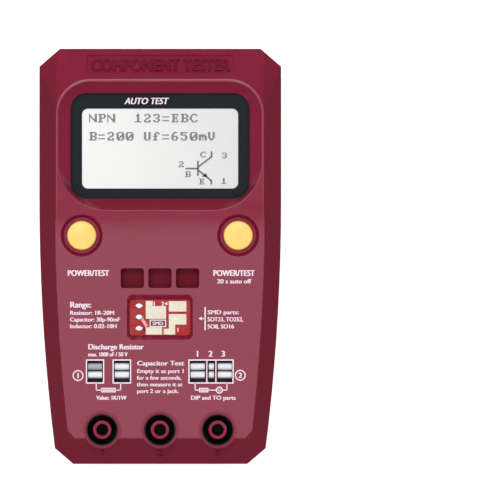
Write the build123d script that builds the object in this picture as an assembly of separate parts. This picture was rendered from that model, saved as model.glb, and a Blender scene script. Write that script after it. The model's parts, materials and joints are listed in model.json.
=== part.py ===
"""Hand-held component tester, lying on its back: case, display, buttons, contact ports, jacks and battery.

Millimetres. +X is the width, +Y points to the display end and +Z comes out of the display.
The origin is in the middle of the footprint, on the surface that the feet stand on.
"""

import os
from math import atan2, cos, degrees, radians, sin

from build123d import *

# --- case ---------------------------------------------------------------------------------------
HALF_LENGTH = 68.7
HALF_WIDTH = 40.0
FOOT_DROP = 1.0  # how far the rubber feet stand out of the back
BACK_Z = FOOT_DROP
PARTING_Z = 15.0  # where the two shells meet
SHOULDER_Z = 22.5  # where the sides turn into the bevels
FACE_Z = 31.0  # the face with the ports
CREST_Z = 31.6  # the slightly higher rim around the display
WALL = 2.0
CEILING_Z = 29.2  # inside of the front wall
EDGE_ROUND = 0.7
SEAM = 0.25  # depth of the groove along the parting line
# the crest's corners at the display end run around the same middle as the dish's
CORNER = (22.8, 46.9)
CORNER_R = 11.5
CORNER_TURN = radians(33)  # where the bevel of the display end meets the corner's facet
# right half of the outline at the shoulder and at the crest, from the display end to the jack end;
# the fourth and fifth points are joined by an arc that starts parallel to the centre line
TAPER_Y = 18.6
SHOULDER = [
    (CORNER[0], HALF_LENGTH),
    (33.2, HALF_LENGTH),
    (HALF_WIDTH, 62.8),
    (HALF_WIDTH, TAPER_Y),
    (34.9, -63.5),
    (28.8, -HALF_LENGTH),
]
CREST = [
    (CORNER[0], CORNER[1] + CORNER_R),
    (CORNER[0] + CORNER_R * cos(CORNER_TURN), CORNER[1] + CORNER_R * sin(CORNER_TURN)),
    (CORNER[0] + CORNER_R, CORNER[1]),
    (CORNER[0] + CORNER_R, TAPER_Y),
    (30.2, -57.0),
    (28.0, -59.4),
]
BACK_INSET = 3.2
STEP_Y = (4.0, 15.0)  # the face curves up from FACE_Z to CREST_Z between these

# --- display ------------------------------------------------------------------------------------
DISH_HALF_X = 33.7
DISH_Y = (15.2, 57.8)
DISH_TOP_R = 10.9
DISH_LOW_R = 16.0
DISH_RIM = [(-0.2, 0.12), (0.02, 0.03), (0.23, -0.01)]  # the rim's rounding: outward, and below the crest
WINDOW_HALF_X = 29.6
WINDOW_Y = (19.1, 53.9)
WINDOW_R = 5.5
WINDOW_Z = 28.2
SEAT_Z = 26.5  # underside of the seat around the lens
LENS_LIP = 1.6  # how far the lens reaches under the case
SEAT_MARGIN = 1.5  # how much wider the seat is than the lens
LENS_PLAY = 0.1
LENS_T = 1.2
GLUE_T = 0.04  # between the lens and the border
BORDER_T = 0.3
VIEW_HALF_X = 25.8
VIEW_Y = (22.4, 48.8)
VIEW_R = 2.0
GLASS_HALF_X = 28.2
GLASS_Y = (20.2, 51.4)
GLASS_T = 0.8
LCD_FRAME_T = 1.2
LCD_BOARD_T = 0.6
LCD_BOARD_HALF_X = 30.6
LCD_BOARD_Y = (17.6, 56.6)
BORDER_PLAY = 0.2
PIN_COUNT = 20
PITCH = 2.54
PIN_SIDE = 0.64

# --- label pocket on the sloping display end ----------------------------------------------------
LABEL_SIZE = (48.6, 8.4)
LABEL_DEPTH = 0.35

# --- buttons ------------------------------------------------------------------------------------
BUTTON_X = 25.8
BUTTON_Y = 6.9
CAP_R = 4.8
CAP_HOLE_R = 5.0
CAP_DOME_Z = (31.3, 32.7)
CAP_SKIRT_R = 5.7
CAP_SKIRT_Z = (28.2, 28.9)
BUTTON_PAD_R = 8.4  # thicker front wall around a button
CRATER_R = 6.95
CRATER_LOW_R = 6.0
CRATER_Z = 29.9
COLLAR_R = 5.85
COLLAR_Z = 30.75
CAP_PLAY = 0.05
BUTTON_TRAVEL = 0.5
SWITCH_SIDE = 6.0
SWITCH_H = 3.2
STEM_R = 1.7
STEM_Z = (26.9, 29.4)
STEM_PLAY = 0.05

# --- pockets and the surface-mount test board ---------------------------------------------------
POCKET_PITCH = 9.1
POCKET_Y = -7.2
POCKET_SIZE = (7.7, 6.5)
POCKET_FLOOR_Z = 27.6
POCKET_PAD = ((-14.5, 14.5), (-11.5, -2.8))  # the walls and floor of the pockets, seen from inside
POCKET_FLOOR_T = 1.0
POCKET_CORNER_R = 0.9
SMD_Y = (-26.1, -14.3)
SMD_HALF_X = 10.0
SMD_MOUTH_Y = (-27.5, -12.6)
SMD_MOUTH_HALF_X = 10.9
SMD_TOP_Z = 29.2
SMD_T = 1.0
SMD_RIM = 1.3  # how far the test board reaches under the case
PAD_T = 0.08
NOTCHED_PAD = ((-4.7, 2.0), (-20.6, -14.7))
NOTCH = ((-2.4, 2.0), (-16.4, -14.7))
PLAIN_PADS = [((2.9, 8.7), (-18.2, -14.8)), ((-4.7, 0.7), (-25.8, -23.4))]
LEGGED_PAD = [((2.9, 8.7), (-22.5, -19.05)), ((2.9, 5.0), (-25.8, -22.5)), ((1.2, 2.9), (-25.8, -23.9))]
SMD_PINS = [(-6.9, -16.3), (-6.9, -20.0), (-6.9, -23.8)]
SMD_PIN_R = 0.5
SOLDER_SIZE = (1.4, 1.05, 0.6)

# --- contact ports ------------------------------------------------------------------------------
PORT_Y = -37.7
PORT_WINDOW_Y = (-41.5, -34.4)
LEAF_T = 0.3
LEAF_GAP = 0.18  # from the middle of a port to a leaf
LEAF_DEPTH = 2.4
LEAF_TOP_Z = 30.1
LEAF_LIP_Z = 28.2
BLOCK_TOP_Z = 26.4
LEAF_FOOT_Z = BLOCK_TOP_Z + 0.05
LEAF_ROUND = 0.9
BLOCK_HALF_Y = 3.6
SLOT_HALF_Y = 0.6
SLOT_WALL = 1.0  # left standing at each end of a block's slot
SLOT_FLOOR = 0.6
BLOCKS = {"left": (-24.6, -9.2), "right": (9.2, 24.6)}
# name of each contact: its two sides, and the two sides of its window
CONTACTS = {
    "left_port_1": ((-23.7, -19.1), (-24.0, -18.8)),
    "left_port_2": ((-14.9, -10.2), (-15.2, -9.9)),
    "right_port_1": ((10.1, 14.8), (9.8, 15.1)),
    "right_port_2": ((16.1, 17.8), (15.8, 18.1)),
    "right_port_3": ((19.1, 23.7), (18.8, 24.0)),
}

# --- jacks --------------------------------------------------------------------------------------
JACK_PITCH = 19.05
JACK_Y = -57.2
JACKS = {"left": -JACK_PITCH, "middle": 0.0, "right": JACK_PITCH}
BOSS_R = 6.1
BOSS_Z = (25.3, 31.3)
JACK_PAD = 1.0  # the thicker ring of the front wall around a boss
JACK_ROOM = 5.3  # half of the square hollow that a cup drops into
CUP_R = 5.25
CUP_FIT = 0.05
CUP_BORE_R = 4.85
CUP_Z = (10.5, 31.1)
CUP_FLOOR = 1.5
TUBE_R = 3.1
TUBE_TOP_Z = 30.6
SOCKET_R = 2.25
BORE_R = 2.0
SOCKET_TOP_Z = 25.0
TUBE_ROUND = 0.4
TAB_W = 3.0
TAB_T = 0.5
TAB_REACH = 1.5  # how far a strip runs under the board

# --- boards and what is on them -----------------------------------------------------------------
BOARD_Z = (22.8, 24.4)
BOARD = [(CORNER[0], 57.0), (30.0, 57.0), (35.2, 52.0), (35.2, TAPER_Y), (31.6, -47.5), (30.0, -49.0)]
POSTS = [(32.2, 14.0), (30.2, -30.0)]
POST_R = 2.4
BOARD_SCREW_R = 1.0
BOARD_SCREW_HEAD_R = 2.0
BOARD_SCREW_HEAD_T = 1.2
BOARD_SCREW_END_Z = 28.0
BOSS_CLEARANCE = 0.4
CHIP = ((-17.5, 17.5), (-6.6, 0.0))
CHIP_Z = (0.2, 1.9)  # above the board
CHIP_LEG = (0.8, 0.3, 1.0)
CHIP_LEG_GAP = 0.25
LEGS_PER_SIDE = 14
CRYSTAL_AT = (-24.0, -10.0)
CRYSTAL_SIZE = (11.0, 4.6, 3.4)
CAPACITORS = [(-24.0, -20.0), (24.0, -14.0), (24.0, -22.0)]
CAPACITOR_R = 3.1
CAPACITOR_H = 9.0
REGULATOR = ((20.0, 26.5), (-5.5, -2.0), 1.6)
REGULATOR_TAB = ((21.7, 24.8), (-2.0, -0.4), 0.3)
CHIP_PART = (2.0, 1.2, 0.6)
CHIP_PART_ROWS = (-45.5, -31.5)
CHIP_PARTS_PER_ROW = 7
CHIP_PART_PITCH = 2.6
RESISTOR_X = -17.0
RESISTOR_DROP = 3.0  # below the board
RESISTOR_R = 2.2
RESISTOR_LENGTH = 10.0
WIRE_R = 0.4
WIRE_LENGTH = 14.0

# --- screws, inserts and feet -------------------------------------------------------------------
CASE_SCREWS = [(31.0, 58.8), (28.3, -60.3)]
BOSS_OUT_R = 3.8
SCREW_R = 1.45
SCREW_HEAD_R = 2.8
SCREW_HEAD_Z = (2.8, 4.6)
SCREW_END_Z = 20.5
HEAD_PLAY = 0.3
SHANK_PLAY = 0.2
RECESS_PART = 0.6  # depth of the cross recess, as a part of the head
RECESS_REACH = 0.62  # half of its length, as a part of the head's radius
RECESS_HALF_W = 0.3
INSERT_R = 2.1
INSERT_BORE_R = 1.5
INSERT_TOP_Z = 21.0
FEET = [(29.0, 44.0), (25.0, -50.0)]
FOOT_R = 4.0
FOOT_SINK = 0.5
FOOT_CHAMFER = 0.4

# --- battery and its compartment ----------------------------------------------------------------
BATTERY_SIZE = (26.2, 46.4, 17.3)
BATTERY_Y = (-17.6, 28.8)
BATTERY_Z = 3.5
STUD_H = 2.1
STUD_X = 6.35
STUD_R = (2.9, 4.1)
BAY_HALF_X = 14.2
BAY_Y = (-19.0, 35.0)
BAY_WALL = 1.5
BAY_CEILING = (21.1, 22.5)
REAR_CAVITY = [(4.8, 3.0), (2.5, 6.0), (2.0, PARTING_Z)]  # inset from the outline, and height
FLOOR_TOP_Z = 4.2
COVER_HALF_X = 16.5
COVER_Y = (-29.5, 37.5)
COVER_T = 1.6
COVER_PLATE_T = 1.55
COVER_FRAME = 2.0  # how much wider the thickened floor around it is
COVER_CORNER_R = 2.0
COVER_GAP = 0.2
COVER_RIB_X = 13.6
COVER_RIB_Y = (-16.0, 25.0)
COVER_RIB = (1.0, 0.7)
GRIP_YS = (24.0, 26.0, 28.0, 30.0)
GRIP_HALF_X = 9.0
GRIP = 0.4  # depth, and half of the width, of a grip groove
COVER_SCREW_Y = -25.2
COVER_SCREW_R = 1.5
COVER_HEAD_R = 2.6
COVER_SINK_R = 2.8
COVER_SINK = 0.9
COVER_INSERT_R = 2.3
COVER_BOSS_R = 3.6
COVER_BOSS_TOP_Z = 9.5
COVER_SCREW_END_Z = 8.0
CONTACT_T = 0.4
CONTACT_HALF_X = 2.4
CONTACT_PLAY = 0.1
CONTACT_Y = (BATTERY_Y[1] + STUD_H + CONTACT_PLAY, BATTERY_Y[1] + STUD_H + CONTACT_PLAY + CONTACT_T)
CONTACT_LOW_Z = 8.0
RIB_HALF_X = 11.0
RIB_LOW_Z = 6.0
BATTERY_ROUND = 2.2
FOAM = ((-11.0, 11.0), (-8.0, 20.0))


# --- helpers ------------------------------------------------------------------------------------
def outline(points, z, round_corner=False):
    """A face at height z, symmetric about the centre line, from the points of its right half."""
    if round_corner:
        right = [
            TangentArc(points[0], points[1], tangent=(1, 0)),
            TangentArc(points[1], points[2], tangent=(sin(CORNER_TURN), -cos(CORNER_TURN))),
        ]
    else:
        right = [Line(points[0], points[1]), Line(points[1], points[2])]
    right.append(Line(points[2], points[3]))
    right.append(TangentArc(points[3], points[4], tangent=(0, -1)))
    right.append(Line(points[4], points[5]))
    left = [mirror(edge, Plane.YZ) for edge in right]
    ends = [Line((-p[0], p[1]), p) for p in (points[0], points[5])]
    return Pos(0, 0, z) * make_face(Curve() + right + left + ends)


def shrink(points, side, end):
    """The same outline, smaller by side on each side and by end at each end."""
    return [(x - side, y if y == TAPER_Y else y - end * (1 if y > 0 else -1)) for x, y in points]


def block(x, y, z):
    """A box between two X, two Y and two Z values."""
    size = [high - low for low, high in (x, y, z)]
    middle = [(high + low) / 2 for low, high in (x, y, z)]
    return Pos(*middle) * Box(*size)


def disc(x, y, r, z):
    """An upright cylinder between two heights."""
    return Pos(x, y, (z[0] + z[1]) / 2) * Cylinder(r, z[1] - z[0])


def tube(x, y, r_out, r_in, z):
    return disc(x, y, r_out, z) - disc(x, y, r_in, z)


def rounded(half_x, y, radii, z):
    """A rounded rectangle at height z; radii are those of the corners at the high and the low Y."""
    high, low = radii
    right = [
        Line((0, y[1]), (half_x - high, y[1])),
        TangentArc((half_x - high, y[1]), (half_x, y[1] - high), tangent=(1, 0)),
        Line((half_x, y[1] - high), (half_x, y[0] + low)),
        TangentArc((half_x, y[0] + low), (half_x - low, y[0]), tangent=(0, -1)),
        Line((half_x - low, y[0]), (0, y[0])),
    ]
    left = [mirror(edge, Plane.YZ) for edge in right]
    return Pos(0, 0, z) * make_face(Curve() + right + left)


def plate(half_x, y, r, z):
    """A flat plate with rounded corners between two heights."""
    return extrude(rounded(half_x, y, (r, r), z[0]), z[1] - z[0])


def both_sides(places):
    """The places given for the right side, and the same on the left."""
    return [(side * x, y) for x, y in places for side in (1, -1)]


def group(solids):
    return Compound(children=list(solids))


# --- case ---------------------------------------------------------------------------------------
def front_outside():
    """The outer form of the front shell: upright sides, then bevels up to the crest."""
    seam = outline(shrink(SHOULDER, SEAM, SEAM), PARTING_Z)
    sides = loft([seam, outline(SHOULDER, PARTING_Z + SEAM)], ruled=True)
    sides += loft([outline(SHOULDER, PARTING_Z + SEAM), outline(SHOULDER, SHOULDER_Z)], ruled=True)
    bevels = loft([outline(SHOULDER, SHOULDER_Z), outline(CREST, CREST_Z, True)], ruled=True)
    above = CREST_Z + 2
    flat = Polyline(
        (STEP_Y[1], CREST_Z), (STEP_Y[1], above),
        (-HALF_LENGTH, above), (-HALF_LENGTH, FACE_Z), (STEP_Y[0], FACE_Z),
    )
    rise = TangentArc((STEP_Y[0], FACE_Z), (STEP_Y[1], CREST_Z), tangent=(1, 0))
    lower = extrude(Plane.YZ * make_face(Curve() + [flat, rise]), HALF_WIDTH, both=True)
    form = sides + bevels - lower
    crest = form.edges().filter_by(lambda e: e.bounding_box().min.Z > FACE_Z - 0.05)
    rim = crest.filter_by(lambda e: e.bounding_box().size.Y > 1 or abs(e.center().Y) > STEP_Y[1])
    return fillet(rim, EDGE_ROUND)


def front_cavity():
    """The hollow inside the front shell."""
    foot = outline(shrink(SHOULDER, WALL, WALL), PARTING_Z)
    waist = outline(shrink(SHOULDER, 2.3, 2.8), SHOULDER_Z)
    top = outline(shrink(CREST, 0.9, 0.5), CEILING_Z, True)
    return loft([foot, waist], ruled=True) + loft([waist, top], ruled=True)


def display_dish():
    """The funnel from the crest down to the display window."""
    levels = [rounded(WINDOW_HALF_X, WINDOW_Y, (WINDOW_R, WINDOW_R), WINDOW_Z)]
    for out, below in DISH_RIM:
        y = (DISH_Y[0] - out, DISH_Y[1] + out)
        levels.append(rounded(DISH_HALF_X + out, y, (DISH_TOP_R + out, DISH_LOW_R + out), CREST_Z - below))
    return loft(levels, ruled=True)


def label_pocket():
    """The shallow pocket for the label on the sloping display end."""
    rise = SHOULDER_Z - CREST_Z
    run = SHOULDER[0][1] - CREST[0][1]
    middle = ((SHOULDER[0][1] + CREST[0][1]) / 2, (SHOULDER_Z + CREST_Z) / 2)
    box = Box(*LABEL_SIZE, 2 * LABEL_DEPTH)
    box = fillet(box.edges().filter_by(Axis.Z), 1.0)
    return Pos(0, *middle) * Rot(degrees(atan2(rise, run)), 0, 0) * box


def crater(x):
    """The moat around a button, with the collar left standing in it."""
    mouth = Pos(x, BUTTON_Y, (CRATER_Z + FACE_Z) / 2) * Cone(CRATER_LOW_R, CRATER_R, FACE_Z - CRATER_Z)
    above = disc(x, BUTTON_Y, CRATER_R, (FACE_Z - 0.001, CREST_Z))
    return mouth + above - disc(x, BUTTON_Y, COLLAR_R, (CRATER_Z, COLLAR_Z))


def smd_mouth():
    """The sloping frame above the surface-mount test board."""
    top = rounded(SMD_MOUTH_HALF_X, SMD_MOUTH_Y, (2.0, 2.0), FACE_Z + 0.01)
    low = rounded(SMD_HALF_X, SMD_Y, (1.2, 1.2), SMD_TOP_Z)
    return loft([low, top], ruled=True)


def pockets():
    """Three shallow rounded pockets in a row."""
    made = []
    for i in (-1, 0, 1):
        box = Box(*POCKET_SIZE, FACE_Z - POCKET_FLOOR_Z)
        box = fillet(box.edges().filter_by(Axis.Z), POCKET_CORNER_R)
        made.append(Pos(i * POCKET_PITCH, POCKET_Y, (FACE_Z + POCKET_FLOOR_Z) / 2) * box)
    return made


def front_shell():
    """The front shell: its hollow leaves a seat around the lens, and pads where parts are held."""
    lens_y = (WINDOW_Y[0] - LENS_LIP, WINDOW_Y[1] + LENS_LIP)
    seat_half_x = WINDOW_HALF_X + LENS_LIP + SEAT_MARGIN
    seat_y = (lens_y[0] - SEAT_MARGIN, lens_y[1] + SEAT_MARGIN)
    pads = [plate(seat_half_x, seat_y, WINDOW_R, (SEAT_Z, CREST_Z))]
    for x in (-BUTTON_X, BUTTON_X):
        pads.append(disc(x, BUTTON_Y, BUTTON_PAD_R, (CAP_SKIRT_Z[1] + CAP_PLAY, FACE_Z)))
    pads.append(block(*POCKET_PAD, (POCKET_FLOOR_Z - POCKET_FLOOR_T, FACE_Z)))
    for x in JACKS.values():
        pads.append(disc(x, JACK_Y, BOSS_R + JACK_PAD, (BOSS_Z[0], CREST_Z)))
    for x, y in both_sides(CASE_SCREWS):
        pads.append(disc(x, y, BOSS_OUT_R, (PARTING_Z, CREST_Z)))
    for x, y in both_sides(POSTS):
        pads.append(disc(x, y, POST_R, (BOARD_Z[1], CREST_Z)))
    shell = front_outside() - (front_cavity() - pads)
    for x in JACKS.values():
        shell += disc(x, JACK_Y, BOSS_R, BOSS_Z)
    cuts = [display_dish(), label_pocket(), smd_mouth()] + pockets()
    room_y = (lens_y[0] - LENS_PLAY, lens_y[1] + LENS_PLAY)
    cuts.append(plate(WINDOW_HALF_X + LENS_LIP + LENS_PLAY, room_y, WINDOW_R, (SEAT_Z, WINDOW_Z)))
    for x in (-BUTTON_X, BUTTON_X):
        cuts.append(crater(x))
        cuts.append(disc(x, BUTTON_Y, CAP_HOLE_R, (SEAT_Z, CREST_Z)))
    for _, window in CONTACTS.values():
        cuts.append(block(window, PORT_WINDOW_Y, (SEAT_Z, CREST_Z)))
    for x in JACKS.values():
        cuts.append(disc(x, JACK_Y, CUP_R + CUP_FIT, (BOSS_Z[0], BOSS_Z[1])))
        room = ((x - JACK_ROOM, x + JACK_ROOM), (JACK_Y - JACK_ROOM, JACK_Y + JACK_ROOM))
        cuts.append(block(*room, (PARTING_Z, BOSS_Z[0])))
    for x, y in both_sides(CASE_SCREWS):
        cuts.append(disc(x, y, INSERT_R, (PARTING_Z, INSERT_TOP_Z + 0.5)))
    for x, y in both_sides(POSTS):
        cuts.append(disc(x, y, BOARD_SCREW_R + 0.05, (BOARD_Z[1], BOARD_SCREW_END_Z + 0.3)))
    return shell - cuts


def rear_shell():
    low = outline(shrink(SHOULDER, BACK_INSET, BACK_INSET), BACK_Z)
    knee = outline(shrink(SHOULDER, 0.5, 0.5), BACK_Z + 4)
    side = outline(SHOULDER, PARTING_Z - SEAM)
    rim = outline(shrink(SHOULDER, SEAM, SEAM), PARTING_Z)
    outside = loft([low, knee], ruled=True) + loft([knee, side], ruled=True) + loft([side, rim], ruled=True)
    floor, bend, top = [outline(shrink(SHOULDER, inset, inset), z) for inset, z in REAR_CAVITY]
    shell = outside - (loft([floor, bend], ruled=True) + loft([bend, top], ruled=True))
    out_x = BAY_HALF_X + BAY_WALL
    out_y = (BAY_Y[0] - BAY_WALL, BAY_Y[1] + BAY_WALL)
    frame_x = COVER_HALF_X + COVER_FRAME
    frame_y = (COVER_Y[0] - COVER_FRAME, COVER_Y[1] + COVER_FRAME)
    shell += block((-frame_x, frame_x), frame_y, (BACK_Z, FLOOR_TOP_Z))
    shell += block((-out_x, out_x), out_y, (FLOOR_TOP_Z, BAY_CEILING[1]))
    shell += disc(0, COVER_SCREW_Y, COVER_BOSS_R, (FLOOR_TOP_Z, COVER_BOSS_TOP_Z))
    for x, y in both_sides(CASE_SCREWS):
        shell += disc(x, y, BOSS_OUT_R, (BACK_Z, PARTING_Z))
    cuts = [
        block((-BAY_HALF_X, BAY_HALF_X), BAY_Y, (BACK_Z, BAY_CEILING[0])),
        plate(COVER_HALF_X, COVER_Y, COVER_CORNER_R, (BACK_Z, BACK_Z + COVER_T)),
        disc(0, COVER_SCREW_Y, COVER_INSERT_R, (BACK_Z, COVER_SCREW_END_Z + 0.5)),
    ]
    for x, y in both_sides(CASE_SCREWS):
        cuts.append(disc(x, y, SCREW_HEAD_R + HEAD_PLAY, (BACK_Z, SCREW_HEAD_Z[1])))
        cuts.append(disc(x, y, SCREW_R + SHANK_PLAY, (BACK_Z, PARTING_Z)))
    for x, y in both_sides(FEET):
        cuts.append(disc(x, y, FOOT_R, (BACK_Z, BACK_Z + FOOT_SINK)))
    for x in (-STUD_X, STUD_X):
        half = CONTACT_HALF_X + CONTACT_PLAY
        cuts.append(block((x - half, x + half), CONTACT_Y, BAY_CEILING))
    shell = shell - cuts
    return shell + block((-RIB_HALF_X, RIB_HALF_X), (CONTACT_Y[1], BAY_Y[1]), (RIB_LOW_Z, BAY_CEILING[0]))


def battery_cover():
    inside_z = BACK_Z + COVER_PLATE_T
    cover_y = (COVER_Y[0] + COVER_GAP, COVER_Y[1] - COVER_GAP)
    cover = plate(COVER_HALF_X - COVER_GAP, cover_y, COVER_CORNER_R - COVER_GAP, (BACK_Z, inside_z))
    for x in (-COVER_RIB_X, COVER_RIB_X):
        rib_x = (x - COVER_RIB[0] / 2, x + COVER_RIB[0] / 2)
        cover += block(rib_x, COVER_RIB_Y, (inside_z, inside_z + COVER_RIB[1]))
    grip_x = (-GRIP_HALF_X, GRIP_HALF_X)
    grooves = [block(grip_x, (y - GRIP, y + GRIP), (BACK_Z, BACK_Z + GRIP)) for y in GRIP_YS]
    holes = [
        disc(0, COVER_SCREW_Y, COVER_SCREW_R + 0.1, (BACK_Z, inside_z)),
        disc(0, COVER_SCREW_Y, COVER_SINK_R, (BACK_Z, BACK_Z + COVER_SINK)),
    ]
    return cover - grooves - holes


def cross_screw(x, y, head_r, shank_r, head_z, end_z):
    """A pan-head screw that is driven from below, with a cross recess in its head."""
    screw = disc(x, y, head_r, head_z) + disc(x, y, shank_r, (head_z[1], end_z))
    depth = (head_z[0], head_z[0] + RECESS_PART * (head_z[1] - head_z[0]))
    slot = RECESS_REACH * head_r
    for half_x, half_y in ((slot, RECESS_HALF_W), (RECESS_HALF_W, slot)):
        screw -= block((x - half_x, x + half_x), (y - half_y, y + half_y), depth)
    return screw


def battery_cover_screw():
    head_z = (BACK_Z + 0.05, BACK_Z + COVER_SINK)
    return cross_screw(0, COVER_SCREW_Y, COVER_HEAD_R, COVER_SCREW_R, head_z, COVER_SCREW_END_Z)


def cover_screw_insert():
    z = (BACK_Z + COVER_T, COVER_SCREW_END_Z + 0.5)
    return tube(0, COVER_SCREW_Y, COVER_INSERT_R, COVER_SCREW_R + 0.05, z)


def case_screws():
    sizes = (SCREW_HEAD_R, SCREW_R, SCREW_HEAD_Z, SCREW_END_Z)
    return group(cross_screw(x, y, *sizes) for x, y in both_sides(CASE_SCREWS))


def threaded_inserts():
    return group(
        tube(x, y, INSERT_R, INSERT_BORE_R, (PARTING_Z, INSERT_TOP_Z)) for x, y in both_sides(CASE_SCREWS)
    )


def rubber_feet():
    made = []
    for x, y in both_sides(FEET):
        foot = disc(x, y, FOOT_R, (0, FOOT_DROP + FOOT_SINK))
        made.append(chamfer(foot.edges().group_by(Axis.Z)[0], FOOT_CHAMFER))
    return group(made)


# --- display ------------------------------------------------------------------------------------
LENS_Z = (WINDOW_Z - LENS_T, WINDOW_Z)
BORDER_Z = (LENS_Z[0] - GLUE_T - BORDER_T, LENS_Z[0] - GLUE_T)
GLASS_Z = (BORDER_Z[0] - GLASS_T, BORDER_Z[0])
LCD_BOARD_Z = (BOARD_Z[1] + 0.4, BOARD_Z[1] + 0.4 + LCD_BOARD_T)
PIN_Y = 55.0


def display_lens():
    y = (WINDOW_Y[0] - LENS_LIP, WINDOW_Y[1] + LENS_LIP)
    return plate(WINDOW_HALF_X + LENS_LIP, y, WINDOW_R, LENS_Z)


def lens_border():
    """The black frame under the lens that leaves only the display open."""
    reach = LENS_LIP - BORDER_PLAY
    y = (WINDOW_Y[0] - reach, WINDOW_Y[1] + reach)
    frame = plate(WINDOW_HALF_X + reach, y, WINDOW_R, BORDER_Z)
    return frame - plate(VIEW_HALF_X, VIEW_Y, VIEW_R, BORDER_Z)


def lcd_glass():
    return block((-GLASS_HALF_X, GLASS_HALF_X), GLASS_Y, GLASS_Z)


def lcd_backlight():
    return block((-GLASS_HALF_X, GLASS_HALF_X), GLASS_Y, (LCD_BOARD_Z[1], GLASS_Z[0]))


def lcd_frame():
    """The bent metal frame that holds the glass and the backlight on the display's board."""
    z = (LCD_BOARD_Z[1], GLASS_Z[1])
    half_x = GLASS_HALF_X + LCD_FRAME_T
    frame = block((-half_x, half_x), (GLASS_Y[0] - LCD_FRAME_T, GLASS_Y[1] + LCD_FRAME_T), z)
    return frame - block((-GLASS_HALF_X, GLASS_HALF_X), GLASS_Y, z)


def pins(y, side, z):
    """One row of square pins."""
    first = -(PIN_COUNT - 1) / 2 * PITCH
    half = side / 2
    xs = [first + i * PITCH for i in range(PIN_COUNT)]
    return [block((x - half, x + half), (y - half, y + half), z) for x in xs]


def lcd_board():
    board = block((-LCD_BOARD_HALF_X, LCD_BOARD_HALF_X), LCD_BOARD_Y, LCD_BOARD_Z)
    corners = [disc(x, y, BOSS_OUT_R + BOSS_CLEARANCE, LCD_BOARD_Z) for x, y in both_sides(CASE_SCREWS[:1])]
    return board - pins(PIN_Y, PIN_SIDE + 0.1, LCD_BOARD_Z) - corners


def lcd_pins():
    return group(pins(PIN_Y, PIN_SIDE, (BOARD_Z[0] - 1.2, LCD_BOARD_Z[1] + 0.8)))


# --- buttons and their switches -----------------------------------------------------------------
def button_cap(x):
    """A domed cap with a skirt that holds it in the case and a socket for the switch's stem."""
    rim_z, top_z = CAP_DOME_Z
    socket_r = STEM_R + 0.1
    profile = Polyline(
        (0, STEM_Z[1]), (socket_r, STEM_Z[1]), (socket_r, CAP_SKIRT_Z[0]), (CAP_SKIRT_R, CAP_SKIRT_Z[0]),
        (CAP_SKIRT_R, CAP_SKIRT_Z[1]), (CAP_R, CAP_SKIRT_Z[1]), (CAP_R, rim_z),
    )
    shoulder = TangentArc((CAP_R, rim_z), (CAP_R - 0.9, rim_z + 0.8), tangent=(0, 1))
    dome = TangentArc((0, top_z), (CAP_R - 0.9, rim_z + 0.8), tangent=(1, 0))
    face = make_face(Curve() + [profile, shoulder, dome, Line((0, top_z), (0, STEM_Z[1]))])
    return Pos(x, BUTTON_Y, 0) * revolve(Plane.XZ * face, Axis.Z)


def switch_body(x):
    """A push switch on the board, with a well that its stem sinks into."""
    half = SWITCH_SIDE / 2
    z = (BOARD_Z[1], BOARD_Z[1] + SWITCH_H)
    well_z = (STEM_Z[0] - BUTTON_TRAVEL - 0.1, z[1])
    body = block((x - half, x + half), (BUTTON_Y - half, BUTTON_Y + half), z)
    return body - disc(x, BUTTON_Y, STEM_R + STEM_PLAY, well_z)


def switch_stem(x):
    return disc(x, BUTTON_Y, STEM_R, STEM_Z)


# --- boards -------------------------------------------------------------------------------------
def main_board():
    board = extrude(outline(BOARD, BOARD_Z[0]), BOARD_Z[1] - BOARD_Z[0])
    holes = pins(PIN_Y, PIN_SIDE + 0.1, BOARD_Z)
    for x, y in both_sides(CASE_SCREWS[:1]):
        holes.append(disc(x, y, BOSS_OUT_R + BOSS_CLEARANCE, BOARD_Z))
    for x, y in both_sides(POSTS):
        holes.append(disc(x, y, BOARD_SCREW_R + 0.1, BOARD_Z))
    return board - holes


def board_screws():
    head_z = (BOARD_Z[0] - BOARD_SCREW_HEAD_T, BOARD_Z[0])
    sizes = (BOARD_SCREW_HEAD_R, BOARD_SCREW_R, head_z, BOARD_SCREW_END_Z)
    return group(cross_screw(x, y, *sizes) for x, y in both_sides(POSTS))


def smd_board():
    y = (SMD_Y[0] - SMD_RIM, SMD_Y[1] + SMD_RIM)
    return plate(SMD_HALF_X + SMD_RIM, y, 1.0, (SMD_TOP_Z - SMD_T, SMD_TOP_Z))


def smd_pads():
    """Tinned pads for parts of several sizes: two plain ones, one with legs and one with a notch."""
    z = (SMD_TOP_Z, SMD_TOP_Z + PAD_T)
    notched = block(*NOTCHED_PAD, z) - block(*NOTCH, z)
    legged = block(*LEGGED_PAD[0], z) + [block(*leg, z) for leg in LEGGED_PAD[1:]]
    return group([notched, legged] + [block(*pad, z) for pad in PLAIN_PADS])


def smd_solder_joints():
    """Three low domes of solder where the test board's pins come through."""
    made = []
    for x, y in SMD_PINS:
        dome = Pos(x, y, SMD_TOP_Z) * scale(Sphere(1.0), by=SOLDER_SIZE)
        made.append(dome & disc(x, y, 2 * max(SOLDER_SIZE), (SMD_TOP_Z, SMD_TOP_Z + 1)))
    return group(made)


def smd_board_pins():
    return group(disc(x, y, SMD_PIN_R, (BOARD_Z[1], SMD_TOP_Z - SMD_T)) for x, y in SMD_PINS)


def on_board(x, y, height, low=0.0):
    """A box on the main board; low is how far it is held above it."""
    return block(x, y, (BOARD_Z[1] + low, BOARD_Z[1] + height))


def on_board_at(x, y, size):
    """A box of this size on the main board, with its middle at x and y."""
    return on_board((x - size[0] / 2, x + size[0] / 2), (y - size[1] / 2, y + size[1] / 2), size[2])


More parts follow.
